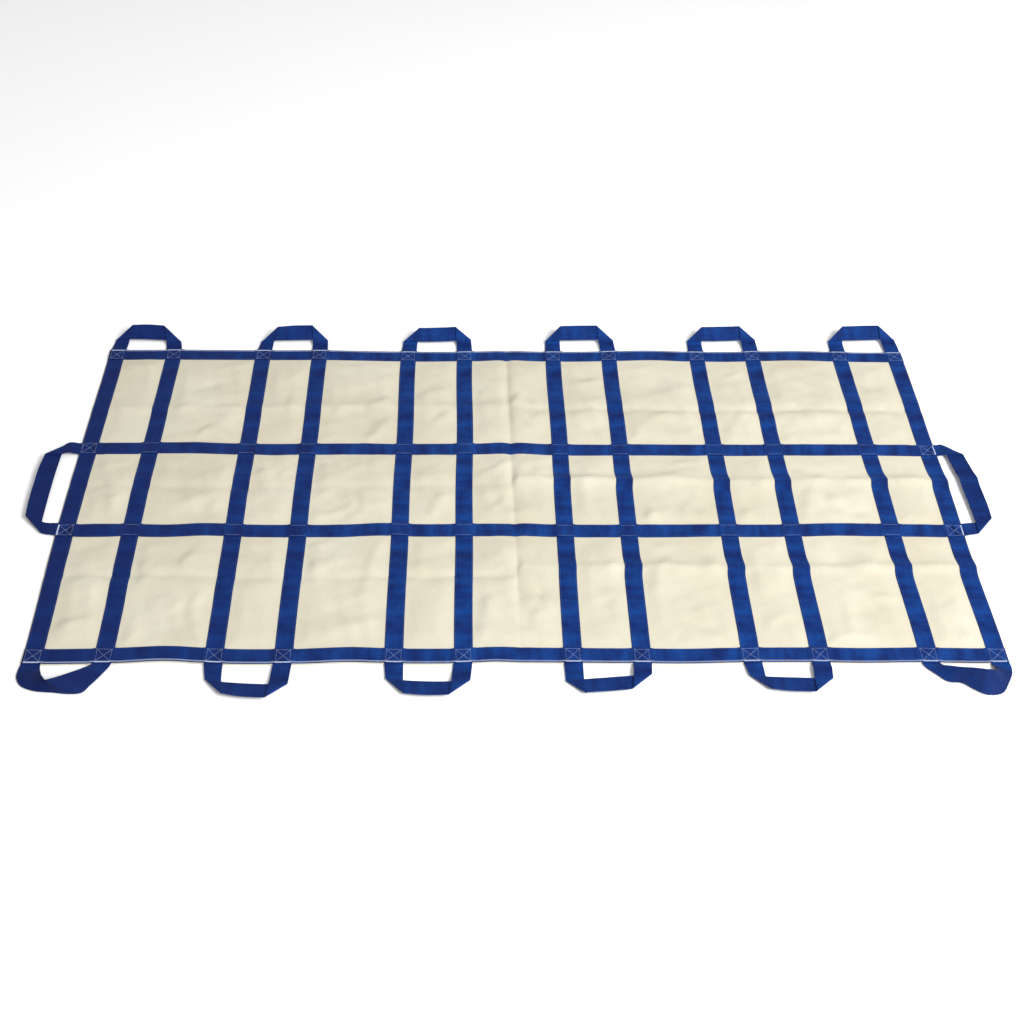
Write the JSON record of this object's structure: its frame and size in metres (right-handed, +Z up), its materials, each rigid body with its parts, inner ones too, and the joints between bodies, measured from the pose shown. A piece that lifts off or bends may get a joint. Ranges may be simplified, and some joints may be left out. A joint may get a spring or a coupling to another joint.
{
  "type": "patient transfer sheet",
  "caption": "Flat canvas patient transfer sheet with a grid of sewn blue webbing straps, hand loops along both long sides and one at each short end.",
  "frame": {"origin": "middle of the sheet, on the surface that it lies on, at the centre crease", "axes": "+X along the length to the right end, +Y across to the far side, +Z up"},
  "size_m": [2.1414, 1.1513, 0.024],
  "materials": {
    "canvas": "matt cream cotton canvas",
    "webbing": "royal blue woven webbing with a slight sheen",
    "thread": "pale lavender sewing thread"
  },
  "bodies": {
    "left_half": {"canvas_left": "canvas", "cross_strap_01": "webbing", "cross_strap_02": "webbing", "cross_strap_03": "webbing", "cross_strap_04": "webbing", "cross_strap_05": "webbing", "cross_strap_06": "webbing", "far_edge_strap_left": "webbing", "far_mid_strap_left": "webbing", "near_mid_strap_left": "webbing", "near_edge_strap_left": "webbing", "box_stitches_left": "thread", "row_stitches_left": "thread"},
    "right_half": {"canvas_right": "canvas", "cross_strap_07": "webbing", "cross_strap_08": "webbing", "cross_strap_09": "webbing", "cross_strap_10": "webbing", "cross_strap_11": "webbing", "cross_strap_12": "webbing", "far_edge_strap_right": "webbing", "far_mid_strap_right": "webbing", "near_mid_strap_right": "webbing", "near_edge_strap_right": "webbing", "box_stitches_right": "thread", "row_stitches_right": "thread"},
    "far_hand_loop_1": {"far_hand_loop_1": "webbing"},
    "far_hand_loop_2": {"far_hand_loop_2": "webbing"},
    "far_hand_loop_3": {"far_hand_loop_3": "webbing"},
    "far_hand_loop_4": {"far_hand_loop_4": "webbing"},
    "far_hand_loop_5": {"far_hand_loop_5": "webbing"},
    "far_hand_loop_6": {"far_hand_loop_6": "webbing"},
    "near_hand_loop_1": {"near_hand_loop_1": "webbing"},
    "near_hand_loop_2": {"near_hand_loop_2": "webbing"},
    "near_hand_loop_3": {"near_hand_loop_3": "webbing"},
    "near_hand_loop_4": {"near_hand_loop_4": "webbing"},
    "near_hand_loop_5": {"near_hand_loop_5": "webbing"},
    "near_hand_loop_6": {"near_hand_loop_6": "webbing"},
    "left_end_hand_loop": {"left_end_hand_loop": "webbing"},
    "right_end_hand_loop": {"right_end_hand_loop": "webbing"}
  },
  "joints": [
    {"name": "centre_fold", "type": "hinge", "parent": "left_half", "child": "right_half", "pos_m": [0, 0, 0.004], "axis": [0, -1, 0], "range_deg": [0, 150]},
    {"name": "far_hand_loop_1_hinge", "type": "hinge", "parent": "left_half", "child": "far_hand_loop_1", "pos_m": [-0.9025, 0.502, 0.0055], "axis": [1, 0, 0], "range_deg": [0, 155]},
    {"name": "far_hand_loop_2_hinge", "type": "hinge", "parent": "left_half", "child": "far_hand_loop_2", "pos_m": [-0.5415, 0.502, 0.0055], "axis": [1, 0, 0], "range_deg": [0, 155]},
    {"name": "far_hand_loop_3_hinge", "type": "hinge", "parent": "left_half", "child": "far_hand_loop_3", "pos_m": [-0.1805, 0.502, 0.0055], "axis": [1, 0, 0], "range_deg": [0, 155]},
    {"name": "far_hand_loop_4_hinge", "type": "hinge", "parent": "right_half", "child": "far_hand_loop_4", "pos_m": [0.1805, 0.502, 0.0055], "axis": [1, 0, 0], "range_deg": [0, 155]},
    {"name": "far_hand_loop_5_hinge", "type": "hinge", "parent": "right_half", "child": "far_hand_loop_5", "pos_m": [0.5415, 0.502, 0.0055], "axis": [1, 0, 0], "range_deg": [0, 155]},
    {"name": "far_hand_loop_6_hinge", "type": "hinge", "parent": "right_half", "child": "far_hand_loop_6", "pos_m": [0.9025, 0.502, 0.0055], "axis": [1, 0, 0], "range_deg": [0, 155]},
    {"name": "near_hand_loop_1_hinge", "type": "hinge", "parent": "left_half", "child": "near_hand_loop_1", "pos_m": [-0.9025, -0.502, 0.0055], "axis": [-1, 0, 0], "range_deg": [0, 140]},
    {"name": "near_hand_loop_2_hinge", "type": "hinge", "parent": "left_half", "child": "near_hand_loop_2", "pos_m": [-0.5415, -0.502, 0.0055], "axis": [-1, 0, 0], "range_deg": [0, 165]},
    {"name": "near_hand_loop_3_hinge", "type": "hinge", "parent": "left_half", "child": "near_hand_loop_3", "pos_m": [-0.1805, -0.502, 0.0055], "axis": [-1, 0, 0], "range_deg": [0, 165]},
    {"name": "near_hand_loop_4_hinge", "type": "hinge", "parent": "right_half", "child": "near_hand_loop_4", "pos_m": [0.1805, -0.502, 0.0055], "axis": [-1, 0, 0], "range_deg": [0, 165]},
    {"name": "near_hand_loop_5_hinge", "type": "hinge", "parent": "right_half", "child": "near_hand_loop_5", "pos_m": [0.5415, -0.502, 0.0055], "axis": [-1, 0, 0], "range_deg": [0, 165]},
    {"name": "near_hand_loop_6_hinge", "type": "hinge", "parent": "right_half", "child": "near_hand_loop_6", "pos_m": [0.9025, -0.502, 0.0055], "axis": [-1, 0, 0], "range_deg": [0, 140]},
    {"name": "left_end_hand_loop_hinge", "type": "hinge", "parent": "left_half", "child": "left_end_hand_loop", "pos_m": [-0.994, 0, 0.0055], "axis": [0, 1, 0], "range_deg": [0, 150]},
    {"name": "right_end_hand_loop_hinge", "type": "hinge", "parent": "right_half", "child": "right_end_hand_loop", "pos_m": [0.994, 0, 0.0055], "axis": [0, -1, 0], "range_deg": [0, 150]}
  ]
}
